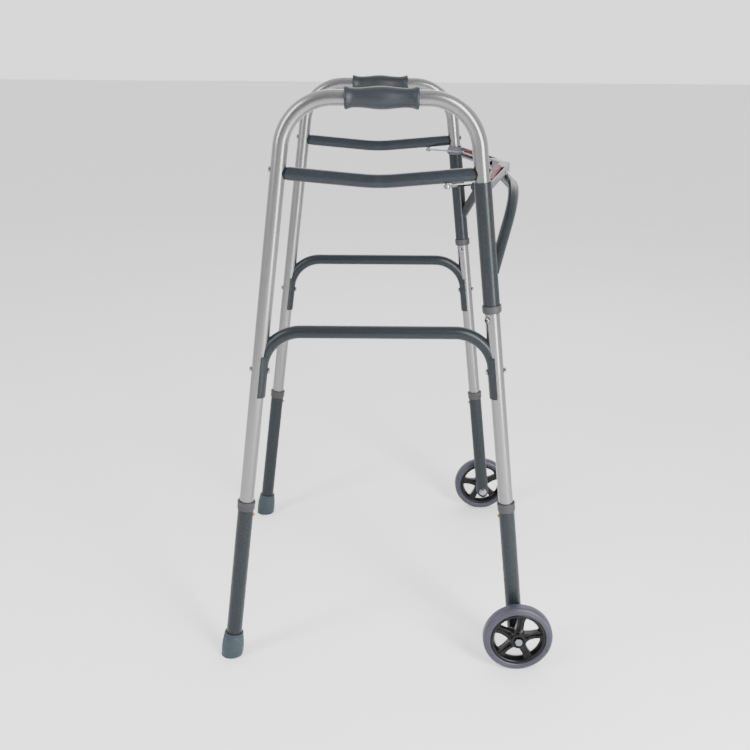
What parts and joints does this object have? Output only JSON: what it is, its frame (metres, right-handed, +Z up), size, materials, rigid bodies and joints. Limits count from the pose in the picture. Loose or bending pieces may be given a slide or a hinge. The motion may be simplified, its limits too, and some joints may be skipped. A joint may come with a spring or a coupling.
{
  "type": "walking frame",
  "caption": "Folding walking frame: tubular side frames with hand grips hinge on a front brace, with telescoping legs, front wheels and rear rubber tips.",
  "frame": {"origin": "on the floor, under the middle of the walking frame's outline", "axes": "+X forward, the way the user walks, towards the wheels; +Y to the user's left; +Z up"},
  "size_m": [0.608, 0.712, 1.0213],
  "materials": {
    "anodised_tube": "satin clear-anodised tube with fine drawn lines",
    "hammertone_paint": "dark grey hammered paint, semi-gloss",
    "dark_bar_paint": "dark blue-grey hammered paint",
    "bow_paint": "light silver-grey paint",
    "grey_plastic": "moulded grey plastic",
    "black_plastic": "moulded black plastic",
    "grip_plastic": "soft blue-grey vinyl",
    "red_plastic": "dark red moulded plastic",
    "tip_rubber": "blue-grey moulded rubber",
    "tyre_rubber": "grey-violet solid tyre",
    "zinc_steel": "bright zinc plating",
    "spring_steel": "oiled spring steel",
    "snap_brass": "bright brass",
    "label_film": "white film with pale red bands"
  },
  "bodies": {
    "front_brace": {"front_bow": "bow_paint", "front_arch": "hammertone_paint", "bow_label": "label_film", "right_sleeve": "hammertone_paint", "right_sleeve_collar": "grey_plastic", "right_lever_pivot": "zinc_steel", "right_lever_spring": "spring_steel", "left_sleeve": "hammertone_paint", "left_sleeve_collar": "grey_plastic", "left_lever_pivot": "zinc_steel", "left_lever_spring": "spring_steel"},
    "right_side": {"right_side_tube": "anodised_tube", "right_grip": "grip_plastic", "right_upper_bar": "dark_bar_paint", "right_bar_plugs": "black_plastic", "right_bar_screws": "zinc_steel", "right_lower_brace": "hammertone_paint", "right_brace_screws": "zinc_steel", "right_stop_screw": "zinc_steel", "right_button_springs": "spring_steel"},
    "right_release": {"right_latch_lever": "zinc_steel", "right_release_paddle": "red_plastic", "right_latch_pin": "zinc_steel"},
    "right_front_leg": {"right_front_extension": "hammertone_paint", "right_front_collar": "grey_plastic", "right_axle_bolt": "zinc_steel", "right_axle_nut": "zinc_steel"},
    "right_rear_leg": {"right_rear_extension": "hammertone_paint", "right_rear_collar": "grey_plastic", "right_rear_tip": "tip_rubber"},
    "right_wheel": {"right_wheel_rim": "black_plastic", "right_wheel_tyre": "tyre_rubber"},
    "right_front_snap": {"right_front_button": "snap_brass"},
    "right_rear_snap": {"right_rear_button": "snap_brass"},
    "left_side": {"left_side_tube": "anodised_tube", "left_grip": "grip_plastic", "left_upper_bar": "dark_bar_paint", "left_bar_plugs": "black_plastic", "left_bar_screws": "zinc_steel", "left_lower_brace": "hammertone_paint", "left_brace_screws": "zinc_steel", "left_stop_screw": "zinc_steel", "left_button_springs": "spring_steel"},
    "left_release": {"left_latch_lever": "zinc_steel", "left_release_paddle": "red_plastic", "left_latch_pin": "zinc_steel"},
    "left_front_leg": {"left_front_extension": "hammertone_paint", "left_front_collar": "grey_plastic", "left_axle_bolt": "zinc_steel", "left_axle_nut": "zinc_steel"},
    "left_rear_leg": {"left_rear_extension": "hammertone_paint", "left_rear_collar": "grey_plastic", "left_rear_tip": "tip_rubber"},
    "left_wheel": {"left_wheel_rim": "black_plastic", "left_wheel_tyre": "tyre_rubber"},
    "left_front_snap": {"left_front_button": "snap_brass"},
    "left_rear_snap": {"left_rear_button": "snap_brass"}
  },
  "joints": [
    {"name": "right_fold", "type": "hinge", "parent": "front_brace", "child": "right_side", "pos_m": [0.16113, -0.297, 0.76], "axis": [0.1132, 0, -0.9936], "range_deg": [0, 88], "deforming": ["right_latch_pin"]},
    {"name": "right_release_press", "type": "hinge", "parent": "front_brace", "child": "right_release", "pos_m": [0.21087, -0.08762, 0.8645], "axis": [0.9736, -0.2284, 0], "range_deg": [0, 1.5], "stiffness_Nm_per_rad": 15, "springref_deg": -3.44, "deforming": ["right_lever_spring"]},
    {"name": "right_front_height", "type": "slide", "parent": "right_side", "child": "right_front_leg", "axis": [-0.1132, 0, 0.9936], "range_m": [0, 0.1524], "deforming": ["right_front_button"]},
    {"name": "right_rear_height", "type": "slide", "parent": "right_side", "child": "right_rear_leg", "axis": [0.1189, 0, 0.9929], "range_m": [0, 0.1778], "deforming": ["right_rear_button"]},
    {"name": "right_wheel_spin", "type": "hinge", "parent": "right_front_leg", "child": "right_wheel", "pos_m": [0.24049, -0.3345, 0.0635], "axis": [0, 1, 0], "continuous": true},
    {"name": "right_front_snap_press", "type": "slide", "parent": "right_side", "child": "right_front_snap", "axis": [0.9936, 0, 0.1132], "range_m": [0, 0.0044], "stiffness_N_per_m": 500, "springref_m": -0.004, "deforming": ["right_button_springs"]},
    {"name": "right_rear_snap_press", "type": "slide", "parent": "right_side", "child": "right_rear_snap", "axis": [-0.9929, 0, 0.1189], "range_m": [0, 0.0044], "stiffness_N_per_m": 500, "springref_m": -0.004, "deforming": ["right_button_springs"]},
    {"name": "left_fold", "type": "hinge", "parent": "front_brace", "child": "left_side", "pos_m": [0.16113, 0.297, 0.76], "axis": [-0.1132, 0, 0.9936], "range_deg": [0, 78], "deforming": ["left_latch_pin"]},
    {"name": "left_release_press", "type": "hinge", "parent": "front_brace", "child": "left_release", "pos_m": [0.21087, 0.08762, 0.8645], "axis": [-0.9736, -0.2284, 0], "range_deg": [0, 1.5], "stiffness_Nm_per_rad": 15, "springref_deg": -3.44, "deforming": ["left_lever_spring"]},
    {"name": "left_front_height", "type": "slide", "parent": "left_side", "child": "left_front_leg", "axis": [-0.1132, 0, 0.9936], "range_m": [0, 0.1524], "deforming": ["left_front_button"]},
    {"name": "left_rear_height", "type": "slide", "parent": "left_side", "child": "left_rear_leg", "axis": [0.1189, 0, 0.9929], "range_m": [0, 0.1778], "deforming": ["left_rear_button"]},
    {"name": "left_wheel_spin", "type": "hinge", "parent": "left_front_leg", "child": "left_wheel", "pos_m": [0.24049, 0.3345, 0.0635], "axis": [0, 1, 0], "continuous": true},
    {"name": "left_front_snap_press", "type": "slide", "parent": "left_side", "child": "left_front_snap", "axis": [0.9936, 0, 0.1132], "range_m": [0, 0.0044], "stiffness_N_per_m": 500, "springref_m": -0.004, "deforming": ["left_button_springs"]},
    {"name": "left_rear_snap_press", "type": "slide", "parent": "left_side", "child": "left_rear_snap", "axis": [-0.9929, 0, 0.1189], "range_m": [0, 0.0044], "stiffness_N_per_m": 500, "springref_m": -0.004, "deforming": ["left_button_springs"]}
  ]
}
